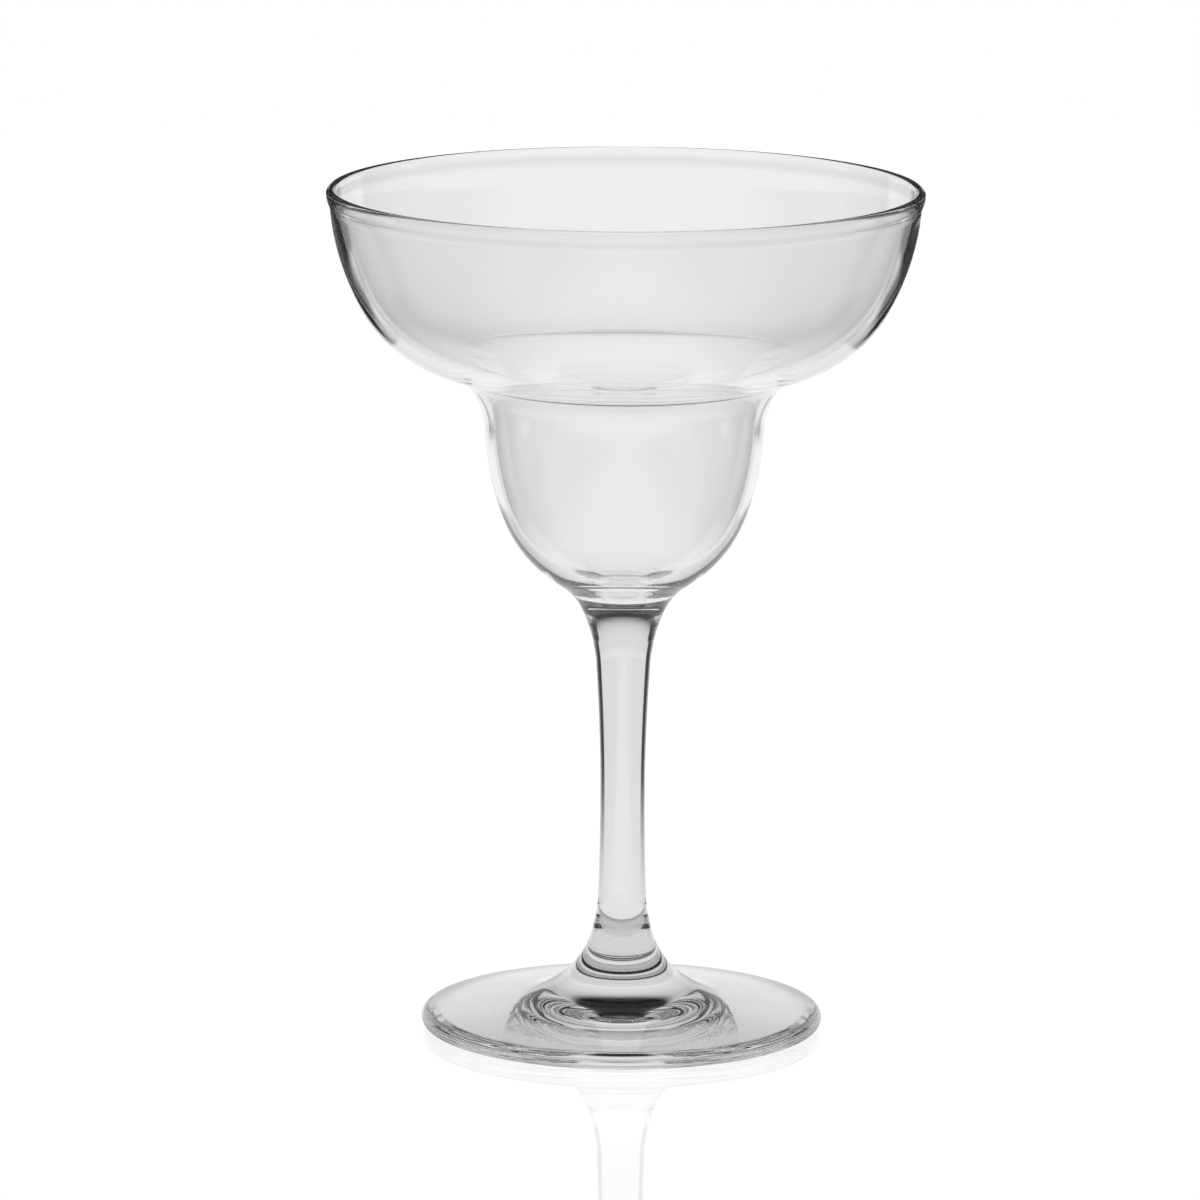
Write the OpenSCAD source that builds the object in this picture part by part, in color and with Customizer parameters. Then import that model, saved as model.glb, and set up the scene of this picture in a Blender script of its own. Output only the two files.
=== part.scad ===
// Margarita glass in clear glass, standing on the table at zero height with its axis upright.
// Three pieces are welded end to end: a stepped bowl, a solid stem and a round foot.
// Each outline is a row of stations, listed from the top down. A station is [radius, height, lean].
// The lean is the angle of the wall from upright, positive where the wall draws in on its way down.
// From each station to the next run two arcs, tangent to each other and to the leans at their ends,
// or a straight wall where the share of the way to the meeting point of the arcs is zero.

/* [Overall] */
// Height from the table to the top of the lip
glass_h = 170; // [150:1:190]

/* [Lip] */
// Diameter over the rounded lip
rim_d = 118.8; // [106:0.2:130]
// Thickness of the bead that rounds the lip
lip_t = 2.1; // [1.9:0.1:2.8]
// Height of the lip, from its top to where the bead has blended into the wall
lip_h = 4.5; // [3.6:0.1:6]
// How far the bead stands out past the wall below it
lip_proud = 0.75; // [0.4:0.05:1]

/* [Saucer] */
// Depth of the wide upper bowl, from the top of the lip to the low end of its floor
saucer_depth = 37.1; // [33:0.1:42]
// Diameter at the low end of the floor, where it turns down into the cup
floor_d = 70; // [64:0.5:78]
// Lean of the wall at the lip, in degrees
saucer_lean = 6; // [4:0.5:9]
// Lean of the floor at its low end, in degrees
floor_lean = 76.5; // [70:0.5:80]
// Wall at the lip
saucer_wall = 1.7; // [1.3:0.1:2]
// Wall at the low end of the floor
floor_wall = 2.3; // [1.8:0.1:2.8]

/* [Cup] */
// Drop of the step from the floor to the top of the cup
step_drop = 10.5; // [8.5:0.1:12.5]
// Diameter at the top of the cup
cup_d = 56; // [51:0.5:60]
// Lean of the cup's side at the top, in degrees
cup_lean = 2.8; // [1:0.1:6]
// Depth of the cup outside, from its top to where its end turns into the throat
cup_depth = 32; // [28:0.1:36]
// Diameter where the end of the cup turns into the throat
cup_end_d = 26.3; // [23:0.1:30]
// Lean where the end of the cup turns into the throat, in degrees
cup_end_lean = 58.3; // [52:0.1:64]
// Wall at the top of the cup
cup_wall = 2; // [1.6:0.1:2.6]
// Solid glass under the cup, from its inside down to the weld with the stem
cup_base = 4.3; // [3.6:0.1:5.4]

/* [Throat] */
// Height of the throat, from the end of the cup down to the weld with the stem
throat_h = 4.9; // [4:0.1:6]
// Diameter of the weld between bowl and stem
neck_d = 17; // [15:0.1:19]
// Lean at the weld between bowl and stem, in degrees
neck_lean = 26.5; // [20:0.5:34]

/* [Stem] */
// Diameter of the stem at its waist
stem_d = 8.9; // [7.5:0.1:10.5]
// Height of the waist above the weld with the foot
waist_h = 28; // [22:0.5:34]

/* [Foot] */
// Height of the weld between stem and foot above the table
hub_h = 18.9; // [16:0.1:22]
// Diameter of the weld between stem and foot
hub_d = 12.3; // [11:0.1:14]
// Lean outward at the weld between stem and foot, in degrees
hub_lean = 16.5; // [10:0.5:22]
// Diameter where the flare of the hub runs out on the plate of the foot
flare_d = 44; // [38:0.5:50]
// Diameter over the foot
foot_d = 80.4; // [72:0.2:90]
// Thickness of the foot at its rounded edge
foot_edge_t = 3.6; // [3:0.1:4.2]
// Fall of the foot's upper face toward the edge, in degrees
foot_slope = 8; // [6:0.5:10]
// Width of the flat ring that the glass stands on, from the hollow to the round of the edge
ring_w = 2.4; // [1.6:0.1:8]
// Rise of the hollow under the foot
hollow_h = 2.2; // [1:0.1:3]

/* [Hidden] */
glass_tint = [0.88, 0.92, 0.93, 0.45];
$fn = 128;
arc_steps = 12;

// Where the two arcs between stations meet, as a share of the way
even_share = 0.5;
saucer_share = 0.45;
step_share = 0.3;
step_inside_share = 0.45;
cup_inside_share = 0.33;
stem_share = 0.7;

// Heights that follow from the depths
lip_z = glass_h - lip_t / 2;
floor_z = glass_h - saucer_depth;
cup_z = floor_z - step_drop;
cup_end_z = cup_z - cup_depth;
neck_z = cup_end_z - throat_h;

// Outside of the bowl, from the top of the lip down to the weld with the stem
lip_top = [(rim_d - lip_t) / 2, glass_h, -90];
lip_side = [rim_d / 2, lip_z, 0];
wall_top = [rim_d / 2 - lip_proud, glass_h - lip_h, saucer_lean];
floor_end = [floor_d / 2, floor_z, floor_lean];
cup_top = [cup_d / 2, cup_z, cup_lean];
cup_end = [cup_end_d / 2, cup_end_z, cup_end_lean];
neck = [neck_d / 2, neck_z, neck_lean];
bowl_outside = [lip_top, lip_side, wall_top, floor_end, cup_top, cup_end, neck];
outside_shares = [even_share, even_share, saucer_share, step_share, even_share, even_share];

// Inside of the bowl, one wall in from the outside, down to the middle of the cup
mouth_top = [(rim_d - lip_t) / 2, glass_h, 90];
mouth_side = [rim_d / 2 - lip_t, lip_z, 0];
wall_inside = inside(wall_top, saucer_wall);
floor_inside = inside(floor_end, floor_wall);
cup_inside = inside(cup_top, cup_wall);
cup_bottom = [0, neck_z + cup_base, 90];
bowl_inside = [mouth_top, mouth_side, wall_inside, floor_inside, cup_inside, cup_bottom];
inside_shares = [even_share, even_share, saucer_share, step_inside_share, cup_inside_share];

// Stem, from the weld with the bowl to the weld with the foot
waist = [stem_d / 2, hub_h + waist_h, 0];
hub = [hub_d / 2, hub_h, -hub_lean];
stem_row = [neck, waist, hub];
stem_shares = [1 - stem_share, stem_share];

// Foot: the flare runs out on a cone that touches the round of the edge, and under it are
// the ring that the glass stands on and the hollow
plate_lean = foot_slope - 90;
edge_r = foot_edge_t / 2;
edge_middle = [foot_d / 2 - edge_r, edge_r];
edge_top = concat(edge_middle + edge_r * square_to(plate_lean), plate_lean);
edge_side = [foot_d / 2, edge_r, 0];
edge_under = [edge_middle[0], 0, 90];
flare_z = edge_top[1] + (edge_top[0] - flare_d / 2) * tan(foot_slope);
flare = [flare_d / 2, flare_z, plate_lean];
stand_r = edge_middle[0] - ring_w;
stand = [stand_r, 0, 90 + 2 * atan(hollow_h / stand_r)];
hollow_top = [0, hollow_h, 90];
foot_row = [hub, flare, edge_top, edge_side, edge_under, stand, hollow_top];
foot_shares = [even_share, 0, even_share, even_share, 0, even_share];

// Point of a station, and the directions along the wall, going down, and square to it, going out
function point(s) = [s[0], s[1]];
function along(lean) = [-sin(lean), -cos(lean)];
function square_to(lean) = [cos(lean), -sin(lean)];

// Station one wall further in, with the same lean
function inside(s, wall) = concat(point(s) - wall * square_to(s[2]), s[2]);

// Station where the two arcs between stations a and b meet
function tangent_sum(a, b, share) =
    let (v = point(b) - point(a))
    let (u = share * along(a[2]) + (1 - share) * along(b[2]))
    let (k = 2 * share * (1 - share) * (1 - along(a[2]) * along(b[2])))
    (sqrt(pow(v * u, 2) + k * v * v) - v * u) / k;
function meeting(a, b, share) =
    let (d = tangent_sum(a, b, share))
    let (from = point(a) + share * d * along(a[2]))
    let (to = point(b) - (1 - share) * d * along(b[2]))
    let (way = to - from)
    concat(from + share * way, atan2(-way[0], -way[1]));

// Points on the arc from station a up to station b, whose centre lies square to the lean at a
function arc(a, b) =
    let (v = point(b) - point(a))
    let (to_centre = v * v / (2 * v * square_to(a[2])))
    let (centre = point(a) + to_centre * square_to(a[2]))
    [for (i = [0 : arc_steps - 1]) centre - to_centre * square_to(a[2] + (b[2] - a[2]) * i / arc_steps)];

// Points along a row of stations
function stretch(a, b, share) =
    let (m = share > 0 ? meeting(a, b, share) : a)
    share > 0 ? concat(arc(a, m), arc(m, b)) : [point(a)];
function outline(row, shares) = [
    for (i = [0 : len(row) - 2]) each stretch(row[i], row[i + 1], shares[i]),
    point(row[len(row) - 1])
];
function upward(points) = [for (i = [len(points) - 1 : -1 : 1]) points[i]];

// Bowl: wide saucer over a narrow cup in one wall, with a beaded lip and a solid base
module bowl() {
    outside = outline(bowl_outside, outside_shares);
    hollow = outline(bowl_inside, inside_shares);
    color(glass_tint) rotate_extrude() polygon(concat(outside, [[0, neck_z]], upward(hollow)));
}

// Stem: solid rod, drawn in at the waist and flared to the welds at both ends
module stem() {
    side = outline(stem_row, stem_shares);
    color(glass_tint) rotate_extrude() polygon(concat([[0, neck_z]], side, [[0, hub_h]]));
}

// Foot: hub that flares into a round plate, with a hollow underside and a flat ring to stand on
module foot() {
    side = outline(foot_row, foot_shares);
    color(glass_tint) rotate_extrude() polygon(concat([[0, hub_h]], side));
}

bowl();
stem();
foot();
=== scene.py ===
from math import atan, atan2, cos, degrees, pi, radians, sin, sqrt, tan

import bpy
from mathutils import Matrix, Vector


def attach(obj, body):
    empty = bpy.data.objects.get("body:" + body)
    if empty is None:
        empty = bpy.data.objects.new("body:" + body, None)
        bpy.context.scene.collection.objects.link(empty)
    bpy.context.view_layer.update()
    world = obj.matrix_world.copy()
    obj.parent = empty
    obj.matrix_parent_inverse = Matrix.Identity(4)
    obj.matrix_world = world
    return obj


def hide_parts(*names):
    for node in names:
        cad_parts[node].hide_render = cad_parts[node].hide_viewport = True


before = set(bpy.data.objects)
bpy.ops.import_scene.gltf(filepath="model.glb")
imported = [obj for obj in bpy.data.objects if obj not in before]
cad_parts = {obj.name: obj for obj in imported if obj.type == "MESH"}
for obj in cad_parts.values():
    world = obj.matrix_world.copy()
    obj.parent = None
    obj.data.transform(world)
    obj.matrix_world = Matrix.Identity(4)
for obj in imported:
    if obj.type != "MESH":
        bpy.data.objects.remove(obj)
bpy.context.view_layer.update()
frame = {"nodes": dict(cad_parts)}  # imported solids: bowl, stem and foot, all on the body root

scene = bpy.context.scene
print("frame loaded:", ", ".join(frame["nodes"]))

# Camera: a long lens, well back and a little above the glass
camera = {
    "place": (-0.00472, -1.7447, 0.4242),
    "tiltDown": 10.943,  # degrees
    "roll": 0.284,  # degrees
    "lens": 267.0,  # mm
    "sensor": 36.0,  # mm
    "farClip": 20,  # metres
}
bpy.ops.object.camera_add(location=camera["place"])
cameraObject = bpy.context.object
cameraObject.name = "photoCamera"
aim = Matrix.Rotation(radians(90 - camera["tiltDown"]), 3, "X")
aim = aim @ Matrix.Rotation(radians(camera["roll"]), 3, "Z")
cameraObject.rotation_euler = aim.to_euler()
cameraObject.data.lens = camera["lens"]
cameraObject.data.sensor_width = camera["sensor"]
cameraObject.data.clip_end = camera["farClip"]
scene.camera = cameraObject
print("camera set")


# Outlines: a row of stations (radius, height, lean), joined by pairs of tangent arcs.
# Lean is the wall's angle from upright in degrees, positive where it draws in on its way down.
def alongWall(lean):
    return Vector((-sin(radians(lean)), -cos(radians(lean))))


def squareTo(lean):
    return Vector((cos(radians(lean)), -sin(radians(lean))))


def pointOf(station):
    return Vector(station[:2])


def inward(station, wall):  # the same station on the other face of the wall
    spot = pointOf(station) - wall * squareTo(station[2])
    return (spot.x, spot.y, station[2])


def meetingOf(a, b, share):  # station where the two arcs from a to b meet
    way = pointOf(b) - pointOf(a)
    fromDir, toDir = alongWall(a[2]), alongWall(b[2])
    blend = share * fromDir + (1 - share) * toDir
    bend = 2 * share * (1 - share) * (1 - fromDir.dot(toDir))
    reach = (sqrt(way.dot(blend) ** 2 + bend * way.dot(way)) - way.dot(blend)) / bend
    start = pointOf(a) + share * reach * fromDir
    chord = pointOf(b) - (1 - share) * reach * toDir - start
    spot = start + share * chord
    return (spot.x, spot.y, degrees(atan2(-chord.x, -chord.y)))


def arcPoints(a, b, steps):
    way = pointOf(b) - pointOf(a)
    radius = way.dot(way) / (2 * way.dot(squareTo(a[2])))
    middle = pointOf(a) + radius * squareTo(a[2])
    turn = (b[2] - a[2]) / steps
    return [middle - radius * squareTo(a[2] + turn * i) for i in range(steps)]


def outlinePoints(row, shares, steps):
    points = []
    for a, b, share in zip(row, row[1:], shares):
        if share > 0:
            middle = meetingOf(a, b, share)
            points += arcPoints(a, middle, steps) + arcPoints(middle, b, steps)
        else:  # a straight wall
            points += [pointOf(a).lerp(pointOf(b), i / steps) for i in range(steps)]
    return points + [pointOf(row[-1])]


# Turning: one outline, extruded point by point and spun round the axis
turning = {"startSize": 0.001, "steps": 240, "sharpAngle": 35, "mergeWithin": 1e-6}


def selectNone():
    if bpy.context.object and bpy.context.object.mode != "OBJECT":
        bpy.ops.object.mode_set(mode="OBJECT")
    bpy.ops.object.select_all(action="DESELECT")


def turnPiece(name, points):
    selectNone()
    bpy.context.tool_settings.mesh_select_mode = (True, False, False)
    bpy.ops.mesh.primitive_plane_add(size=turning["startSize"])  # merged into one point
    piece = bpy.context.object
    piece.name = piece.data.name = name
    bpy.ops.object.mode_set(mode="EDIT")
    bpy.ops.mesh.select_all(action="SELECT")
    bpy.ops.mesh.merge(type="CENTER")
    bpy.ops.transform.translate(value=(points[0].x, 0, points[0].y))
    for here, there in zip(points, points[1:]):
        step = there - here
        bpy.ops.mesh.extrude_region_move(TRANSFORM_OT_translate={"value": (step.x, 0, step.y)})
    bpy.ops.mesh.select_all(action="SELECT")
    bpy.ops.mesh.spin(steps=turning["steps"], angle=2 * pi, center=(0, 0, 0), axis=(0, 0, 1))
    bpy.ops.mesh.select_all(action="SELECT")
    bpy.ops.mesh.remove_doubles(threshold=turning["mergeWithin"])
    bpy.ops.mesh.normals_make_consistent(inside=False)
    bpy.ops.object.mode_set(mode="OBJECT")
    bpy.ops.object.shade_smooth_by_angle(angle=radians(turning["sharpAngle"]))
    print(name, "turned,", len(piece.data.polygons), "faces")
    return piece


# Clear glass: water-clear soda-lime, with a faint wave and a little haze from handling
clear = {
    "tints": {"bowl": 0.955, "stem": 0.82, "foot": 0.83},  # deeper where the glass is thicker
    "ior": 1.5,
    "waveScale": 30, "waveDetail": 1,  # features of some 30 mm
    "waveDepths": {"bowl": 0.00004, "stem": 0.00003, "foot": 0.000006},  # metres, least on the pressed foot
    "hazeScale": 60, "hazeDetail": 4,
    "hazeFrom": (0.5, 0.8),  # part of the noise that shows as haze
    "haze": (0.0, 0.003),  # roughness, from clean to handled
}


def makeClearGlass(node):
    tint = clear["tints"][node]
    material = bpy.data.materials.new(node + "ClearGlass")
    material.use_nodes = True
    nodes, links = material.node_tree.nodes, material.node_tree.links
    shader = nodes["Principled BSDF"]
    shader.inputs["Base Color"].default_value = (tint, tint, tint, 1)
    shader.inputs["Transmission Weight"].default_value = 1
    shader.inputs["IOR"].default_value = clear["ior"]
    place = nodes.new("ShaderNodeTexCoord")
    hazeNoise = nodes.new("ShaderNodeTexNoise")
    hazeNoise.inputs["Scale"].default_value = clear["hazeScale"]
    hazeNoise.inputs["Detail"].default_value = clear["hazeDetail"]
    hazeRange = nodes.new("ShaderNodeMapRange")
    hazeLimits = clear["hazeFrom"] + clear["haze"]
    for name, limit in zip(("From Min", "From Max", "To Min", "To Max"), hazeLimits):
        hazeRange.inputs[name].default_value = limit
    waveNoise = nodes.new("ShaderNodeTexNoise")
    waveNoise.inputs["Scale"].default_value = clear["waveScale"]
    waveNoise.inputs["Detail"].default_value = clear["waveDetail"]
    wave = nodes.new("ShaderNodeBump")
    wave.inputs["Strength"].default_value = 1
    wave.inputs["Distance"].default_value = clear["waveDepths"][node]
    links.new(place.outputs["Object"], hazeNoise.inputs["Vector"])
    links.new(hazeNoise.outputs["Fac"], hazeRange.inputs["Value"])
    links.new(hazeRange.outputs["Result"], shader.inputs["Roughness"])
    links.new(place.outputs["Object"], waveNoise.inputs["Vector"])
    links.new(waveNoise.outputs["Fac"], wave.inputs["Height"])
    links.new(wave.outputs["Normal"], shader.inputs["Normal"])
    return material


# Welds: where two pieces are fused, light goes straight on
weld = {"flat": 0.999, "within": 1e-5}  # how level a weld face is, and how near its height


def makeWeldGlass():
    material = bpy.data.materials.new("weldGlass")
    material.use_nodes = True
    nodes, links = material.node_tree.nodes, material.node_tree.links
    nodes.remove(nodes["Principled BSDF"])
    through = nodes.new("ShaderNodeBsdfTransparent")
    links.new(through.outputs["BSDF"], nodes["Material Output"].inputs["Surface"])
    return material


weldGlass = makeWeldGlass()


def dress(piece, node, weldHeights):
    piece.data.materials.append(makeClearGlass(node))
    piece.data.materials.append(weldGlass)
    bpy.context.tool_settings.mesh_select_mode = (False, False, True)
    bpy.ops.object.mode_set(mode="EDIT")
    bpy.ops.mesh.select_all(action="DESELECT")
    bpy.ops.object.mode_set(mode="OBJECT")
    for face in piece.data.polygons:
        flat = abs(face.normal.z) > weld["flat"]
        face.select = flat and any(abs(face.center.z - height) < weld["within"] for height in weldHeights)
    bpy.ops.object.mode_set(mode="EDIT")
    piece.active_material_index = 1
    bpy.ops.object.material_slot_assign()
    bpy.ops.object.mode_set(mode="OBJECT")
    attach(piece, "root")
    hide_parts(node)


# Bowl: a wide saucer over a narrow cup in one wall, with a beaded lip and a solid base
bowl = {
    "top": 0.170, "rim": 0.0594, "lipThick": 0.0021, "lipHeight": 0.0045, "lipProud": 0.00075,
    "saucerLean": 6, "saucerWall": 0.0017,
    "floor": (0.035, 0.1329, 76.5), "floorWall": 0.0023,
    "cup": (0.028, 0.1224, 2.8), "cupWall": 0.002,
    "cupEnd": (0.01315, 0.0904, 58.3), "cupBottom": 0.0898,
    "neck": (0.0085, 0.0855, 26.5),
    "outShares": (0.5, 0.5, 0.45, 0.3, 0.5, 0.5),
    "inShares": (0.5, 0.5, 0.45, 0.45, 0.33),
    "arcSteps": 10,
}


def makeBowl():
    b = bowl
    beadHeight = b["top"] - b["lipThick"] / 2
    lipMiddle = b["rim"] - b["lipThick"] / 2
    wallTop = (b["rim"] - b["lipProud"], b["top"] - b["lipHeight"], b["saucerLean"])
    outRow = [(lipMiddle, b["top"], -90), (b["rim"], beadHeight, 0), wallTop]
    outRow += [b["floor"], b["cup"], b["cupEnd"], b["neck"]]
    inRow = [(lipMiddle, b["top"], 90), (b["rim"] - b["lipThick"], beadHeight, 0)]
    inRow += [inward(wallTop, b["saucerWall"]), inward(b["floor"], b["floorWall"])]
    inRow += [inward(b["cup"], b["cupWall"]), (0, b["cupBottom"], 90)]
    outside = outlinePoints(outRow, b["outShares"], b["arcSteps"])
    hollow = outlinePoints(inRow, b["inShares"], b["arcSteps"])
    points = [Vector((0, b["neck"][1]))] + outside[::-1] + hollow[1:]
    piece = turnPiece("bowlGlass", points)
    dress(piece, "bowl", [b["neck"][1]])


# Stem: a solid rod, drawn in at the waist
stem = {"waist": (0.00445, 0.0469, 0), "shares": (0.3, 0.7), "arcSteps": 30}


def makeStem():
    row = [bowl["neck"], stem["waist"], foot["hub"]]
    side = outlinePoints(row, stem["shares"], stem["arcSteps"])
    points = [Vector((0, side[0].y))] + side + [Vector((0, side[-1].y))]
    piece = turnPiece("stemGlass", points)
    dress(piece, "stem", [bowl["neck"][1], foot["hub"][1]])


# Foot: a hub that flares into a round plate, hollow underneath inside a flat ring
foot = {
    "hub": (0.00615, 0.0189, -16.5), "flare": 0.022, "slope": 8,
    "rim": 0.0402, "edgeThick": 0.0036, "ring": 0.0024, "hollow": 0.0022,
    "shares": (0.5, 0, 0.5, 0.5, 0, 0.5), "arcSteps": 20,
}


def makeFoot():
    f = foot
    plateLean = f["slope"] - 90
    edgeRadius = f["edgeThick"] / 2
    edgeMiddle = Vector((f["rim"] - edgeRadius, edgeRadius))
    edgeTop = edgeMiddle + edgeRadius * squareTo(plateLean)
    flareHeight = edgeTop.y + (edgeTop.x - f["flare"]) * tan(radians(f["slope"]))
    standRadius = edgeMiddle.x - f["ring"]
    hollowLean = 90 + 2 * degrees(atan(f["hollow"] / standRadius))
    row = [f["hub"], (f["flare"], flareHeight, plateLean), (edgeTop.x, edgeTop.y, plateLean)]
    row += [(f["rim"], edgeRadius, 0), (edgeMiddle.x, 0, 90)]
    row += [(standRadius, 0, hollowLean), (0, f["hollow"], 90)]
    side = outlinePoints(row, f["shares"], f["arcSteps"])
    points = [Vector((0, side[0].y))] + side
    piece = turnPiece("footGlass", points)
    dress(piece, "foot", [f["hub"][1]])


makeBowl()
makeStem()
makeFoot()

# Studio: a pale glossy table and a lit tent over a white sweep. Black cards hang behind the bowl,
# at both sides and above, and draw its dark edges, and low white cards light the foot.
# The set turns with the camera, as if the glass stood on a turntable.
studio = {
    "radius": 1.15, "sides": 128,  # of the lit floor and the tent
    "sweepGlow": 0.97, "fanAngle": 43.5, "fanSoft": 2.5,  # the bright back, in degrees from straight behind
    "bounces": 96, "clearBounces": 32,
}


def plug(tree, value, socket):
    if isinstance(value, (int, float)):
        socket.default_value = value
    else:
        tree.links.new(value, socket)


def reckon(tree, operation, *values):
    node = tree.nodes.new("ShaderNodeMath")
    node.operation = operation
    for value, socket in zip(values, node.inputs):
        plug(tree, value, socket)
    return node.outputs["Value"]


def fade(tree, value, start, end, first, last):  # runs smoothly from first to last
    node = tree.nodes.new("ShaderNodeMapRange")
    node.interpolation_type = "SMOOTHSTEP"
    names = ("Value", "From Min", "From Max", "To Min", "To Max")
    for name, given in zip(names, (value, start, end, first, last)):
        plug(tree, given, node.inputs[name])
    return node.outputs["Result"]


def turnFade(tree, angle, middle, soft, first, last):  # the same round an angle in degrees
    return fade(tree, angle, radians(middle - soft), radians(middle + soft), first, last)


def glowMaterial(name):
    material = bpy.data.materials.new(name)
    material.use_nodes = True
    tree = material.node_tree
    tree.nodes.remove(tree.nodes["Principled BSDF"])
    glow = tree.nodes.new("ShaderNodeEmission")
    tree.links.new(glow.outputs["Emission"], tree.nodes["Material Output"].inputs["Surface"])
    return material, tree, glow.inputs["Strength"]


def placeParts(tree):  # distance from the axis to the side, the way back, the height and the turn
    place = tree.nodes.new("ShaderNodeTexCoord")
    way = tree.nodes.new("ShaderNodeVectorMath")
    way.operation = "NORMALIZE"
    tree.links.new(place.outputs["Object"], way.inputs[0])
    spot, heading = tree.nodes.new("ShaderNodeSeparateXYZ"), tree.nodes.new("ShaderNodeSeparateXYZ")
    tree.links.new(place.outputs["Object"], spot.inputs["Vector"])
    tree.links.new(way.outputs["Vector"], heading.inputs["Vector"])
    aside = reckon(tree, "ABSOLUTE", spot.outputs["X"])
    turn = reckon(tree, "ARCTAN2", aside, spot.outputs["Y"])
    rise = reckon(tree, "ARCSINE", heading.outputs["Z"])
    return aside, spot.outputs["Y"], rise, turn


def addToSet(thing, name, turntable):
    thing.name = name
    thing.parent = turntable
    thing.visible_camera = False


def makeTurntable():
    selectNone()
    bpy.ops.object.empty_add(type="PLAIN_AXES", radius=0.1)
    turntable = bpy.context.object
    turntable.name = "turntable"
    facing = turntable.constraints.new("LOCKED_TRACK")
    facing.target = cameraObject
    facing.track_axis = "TRACK_NEGATIVE_Y"
    facing.lock_axis = "LOCK_Z"
    return turntable


tableTop = {"radius": 1.3, "drop": 0.0001, "glow": 0.82, "gloss": 0.26, "rough": 0.03}


def makeTable():  # what the camera sees of the floor, with a faint mirror image
    selectNone()
    bpy.ops.mesh.primitive_circle_add(
        vertices=studio["sides"], radius=tableTop["radius"], fill_type="NGON",
        location=(0, 0, -tableTop["drop"]),
    )
    table = bpy.context.object
    table.name = "table"
    table.visible_transmission = table.visible_glossy = False
    material, tree, strength = glowMaterial("paleTable")
    strength.default_value = tableTop["glow"]
    gloss = tree.nodes.new("ShaderNodeBsdfGlossy")
    gloss.inputs["Color"].default_value = (tableTop["gloss"],) * 3 + (1,)
    gloss.inputs["Roughness"].default_value = tableTop["rough"]
    both = tree.nodes.new("ShaderNodeAddShader")
    tree.links.new(tree.nodes["Emission"].outputs["Emission"], both.inputs[0])
    tree.links.new(gloss.outputs["BSDF"], both.inputs[1])
    tree.links.new(both.outputs["Shader"], tree.nodes["Material Output"].inputs["Surface"])
    table.data.materials.append(material)


litFloor = {
    "drop": 0.0002,
    "sweepHalf": 0.13, "sweepSoft": 0.1, "sweepFront": 0.5, "frontFade": 0.8,
    "poolRadius": 0.13, "poolSoft": 0.05, "poolGlow": 0.88,
    # footShade and ringShade are painted shadow: the floor's glow is dimmed under the foot
    "footRadius": 0.042, "footSoft": 0.008, "footShade": 0.88,
    "ringRadius": 0.04, "ringSoft": 0.006, "ringShade": 0.48,  # painted contact shadow under the foot's edge
    "fanGlow": 0.92, "gapGlow": 0.05, "sideAngle": 75, "sideSoft": 8, "sideGlow": 0.28,
}


def makeLitFloor(turntable):  # a white sweep that widens toward the back, with dark gaps beside it
    f = litFloor
    selectNone()
    bpy.ops.mesh.primitive_circle_add(
        vertices=studio["sides"], radius=studio["radius"], fill_type="NGON", location=(0, 0, -f["drop"])
    )
    floor = bpy.context.object
    material, tree, strength = glowMaterial("litFloor")
    aside, back, rise, turn = placeParts(tree)
    squares = [reckon(tree, "MULTIPLY", way, way) for way in (aside, back)]
    away = reckon(tree, "SQRT", reckon(tree, "ADD", *squares))
    half, soft = f["sweepHalf"], f["sweepSoft"]
    alongSweep = fade(tree, back, -f["frontFade"], 0.0, f["sweepFront"], studio["sweepGlow"])
    sweep = reckon(tree, "MULTIPLY", fade(tree, aside, half - soft, half + soft, 1.0, 0.0), alongSweep)
    pool, soft = f["poolRadius"], f["poolSoft"]
    pool = fade(tree, away, pool - soft, pool + soft, f["poolGlow"], 0.0)
    fan = turnFade(tree, turn, f["sideAngle"], f["sideSoft"], f["gapGlow"], f["sideGlow"])
    fan = turnFade(tree, turn, studio["fanAngle"], studio["fanSoft"], f["fanGlow"], fan)
    glow = reckon(tree, "MAXIMUM", reckon(tree, "MAXIMUM", sweep, pool), fan)
    # Painted shadow: the glow is dimmed under the foot, and dimmed further in a ring under its edge, in
    # place of contact shade
    edge, soft = f["footRadius"], f["footSoft"]
    shade = fade(tree, away, edge - soft, edge + soft, f["footShade"], 1.0)
    offRing = reckon(tree, "ABSOLUTE", reckon(tree, "SUBTRACT", away, f["ringRadius"]))
    ring = fade(tree, offRing, 0.0, f["ringSoft"], f["ringShade"], 1.0)
    glow = reckon(tree, "MULTIPLY", glow, reckon(tree, "MULTIPLY", shade, ring))
    plug(tree, glow, strength)
    floor.data.materials.append(material)
    addToSet(floor, "litFloor", turntable)


tent = {
    "lowRise": 4, "lowSoft": 3, "wallRise": 15, "wallTop": 22, "roomTop": 11, "riseSoft": 5,  # degrees
    "wallGlow": 0.87, "wallHigh": 0.66, "topGlow": 0.015, "roomGlow": 0.06,
    "frontAngle": 124, "frontSoft": 25, "frontTop": 18, "frontGlow": 0.36,
}


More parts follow.
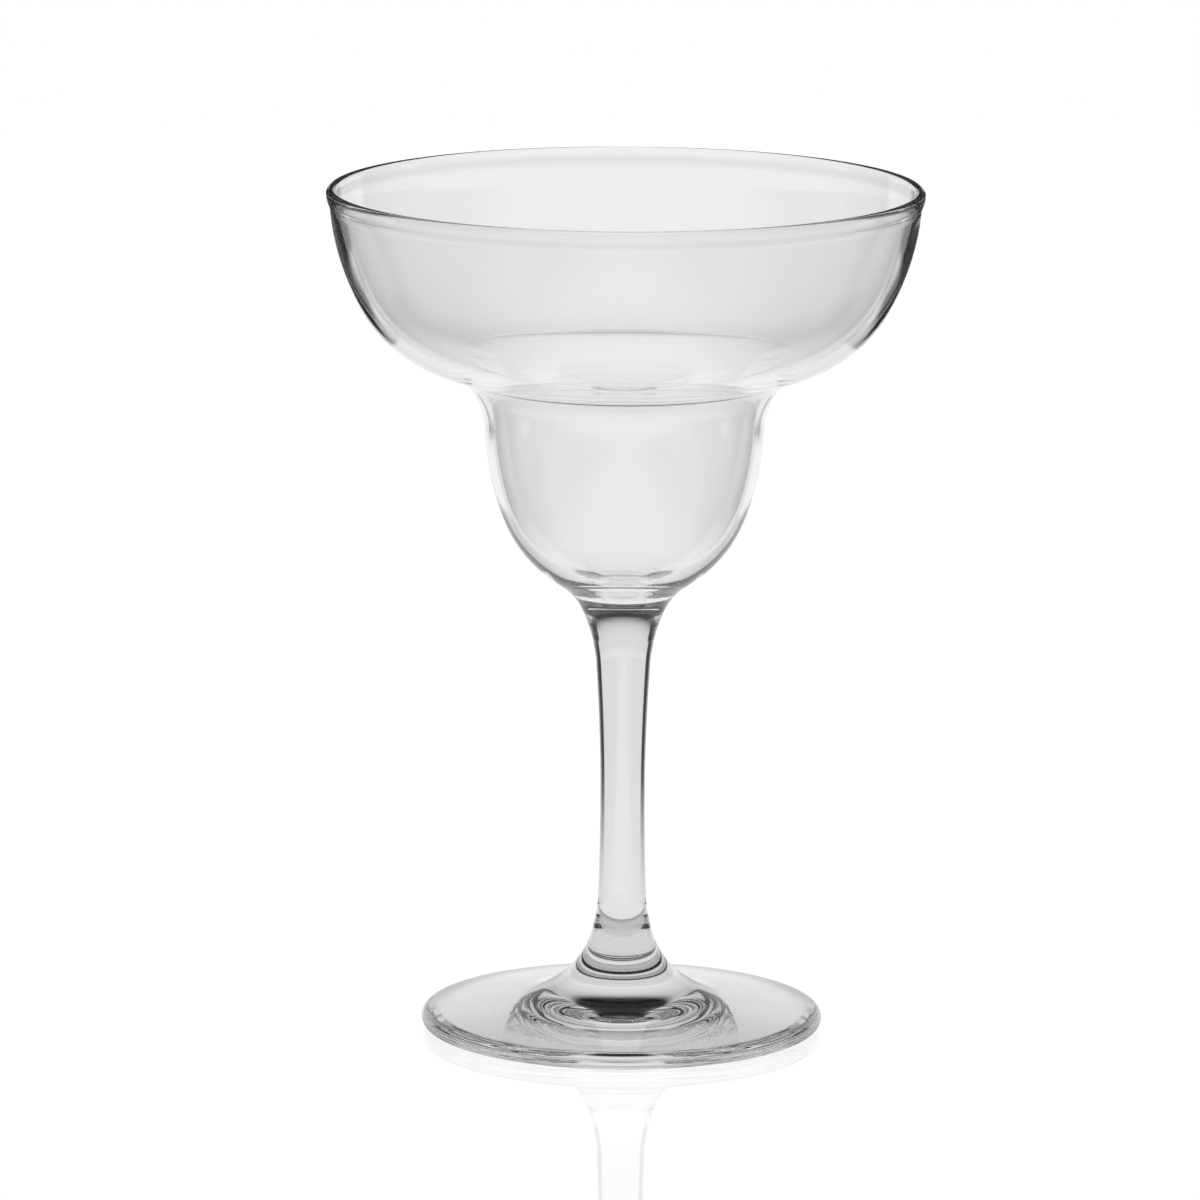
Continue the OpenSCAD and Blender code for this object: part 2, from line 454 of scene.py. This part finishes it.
def makeTent(turntable):  # a bright wall behind, a dark room above and at the sides, and a soft front
    t = tent
    selectNone()
    bpy.ops.mesh.primitive_uv_sphere_add(segments=96, ring_count=48, radius=studio["radius"])
    dome = bpy.context.object
    material, tree, strength = glowMaterial("tent")
    aside, back, rise, turn = placeParts(tree)
    low = turnFade(tree, rise, t["lowRise"], t["lowSoft"], studio["sweepGlow"], t["wallGlow"])
    wall = turnFade(tree, rise, t["wallRise"], t["riseSoft"], low, t["wallHigh"])
    wall = turnFade(tree, rise, t["wallTop"], t["riseSoft"], wall, t["topGlow"])
    room = turnFade(tree, rise, t["roomTop"], t["riseSoft"], t["roomGlow"], t["topGlow"])
    wall = turnFade(tree, turn, studio["fanAngle"], studio["fanSoft"], wall, room)
    front = fade(tree, rise, 0.0, radians(t["frontTop"]), t["frontGlow"], t["topGlow"])
    wall = turnFade(tree, turn, t["frontAngle"], t["frontSoft"], wall, front)
    plug(tree, wall, strength)
    dome.data.materials.append(material)
    addToSet(dome, "tent", turntable)


sideCard = {
    "place": (0.181, 0.1, 0.161), "size": (0.22, 0.098), "turn": 0, "glow": 0.03,
    "softIn": 0.008, "softOut": 0.04, "softEnds": 0.012,
}
topCard = {
    "place": (0, 0.1, 0.277), "size": (0.6, 0.2), "turn": 0, "glow": 0.03,
    "softIn": 0.04, "softOut": 0.04, "softEnds": 0.006,
}
slimCard = {
    "place": (0.107, 0.099, 0.115), "size": (0.07, 0.05), "turn": 0, "glow": 0.03,
    "softIn": 0.006, "softOut": 0.056, "softEnds": 0.012,
}
lowCard = {
    "place": (0.7, 0.165, 0.07), "size": (0.19, 0.13), "turn": 90, "glow": 0.85,
    "softIn": 0.03, "softOut": 0.03, "softEnds": 0.03,
}


def makeCard(name, card, side, turntable):  # a card with soft edges
    selectNone()
    bpy.ops.mesh.primitive_plane_add(size=1)
    sheet = bpy.context.object
    place, size = card["place"], card["size"]
    sheet.rotation_euler = (radians(90), 0, radians(card["turn"] + (180 if side < 0 else 0)))
    sheet.scale = (size[0], size[1], 1)
    sheet.location = (side * place[0], place[1], place[2])
    material, tree, strength = glowMaterial(name)
    strength.default_value = card["glow"]
    spot = tree.nodes.new("ShaderNodeSeparateXYZ")
    tree.links.new(tree.nodes.new("ShaderNodeTexCoord").outputs["Object"], spot.inputs["Vector"])
    outward, upward = spot.outputs["X"], reckon(tree, "ABSOLUTE", spot.outputs["Y"])
    inside = fade(tree, outward, -0.5, card["softIn"] / size[0] - 0.5, 0.0, 1.0)
    outside = fade(tree, outward, 0.5 - card["softOut"] / size[0], 0.5, 1.0, 0.0)
    ends = fade(tree, upward, 0.5 - card["softEnds"] / size[1], 0.5, 1.0, 0.0)
    cover = reckon(tree, "MULTIPLY", reckon(tree, "MULTIPLY", inside, outside), ends)
    clearEdge, blend = tree.nodes.new("ShaderNodeBsdfTransparent"), tree.nodes.new("ShaderNodeMixShader")
    plug(tree, cover, blend.inputs["Fac"])
    tree.links.new(clearEdge.outputs["BSDF"], blend.inputs[1])
    tree.links.new(tree.nodes["Emission"].outputs["Emission"], blend.inputs[2])
    tree.links.new(blend.outputs["Shader"], tree.nodes["Material Output"].inputs["Surface"])
    sheet.data.materials.append(material)
    addToSet(sheet, name, turntable)


turntable = makeTurntable()
makeTable()
makeLitFloor(turntable)
makeTent(turntable)
makeCard("topCard", topCard, 1, turntable)
for side, word in ((-1, "Left"), (1, "Right")):
    makeCard("sideCard" + word, sideCard, side, turntable)
    makeCard("slimCard" + word, slimCard, side, turntable)
    makeCard("lowCard" + word, lowCard, side, turntable)
world = bpy.data.worlds.new("room")
world.use_nodes = True
world.node_tree.nodes["Background"].inputs["Color"].default_value = (1, 1, 1, 1)
scene.world = world
scene.view_settings.view_transform = "Standard"
scene.cycles.max_bounces = studio["bounces"]
scene.cycles.transmission_bounces = studio["bounces"]
scene.cycles.glossy_bounces = studio["bounces"]
scene.cycles.transparent_max_bounces = studio["clearBounces"]
print("studio set")
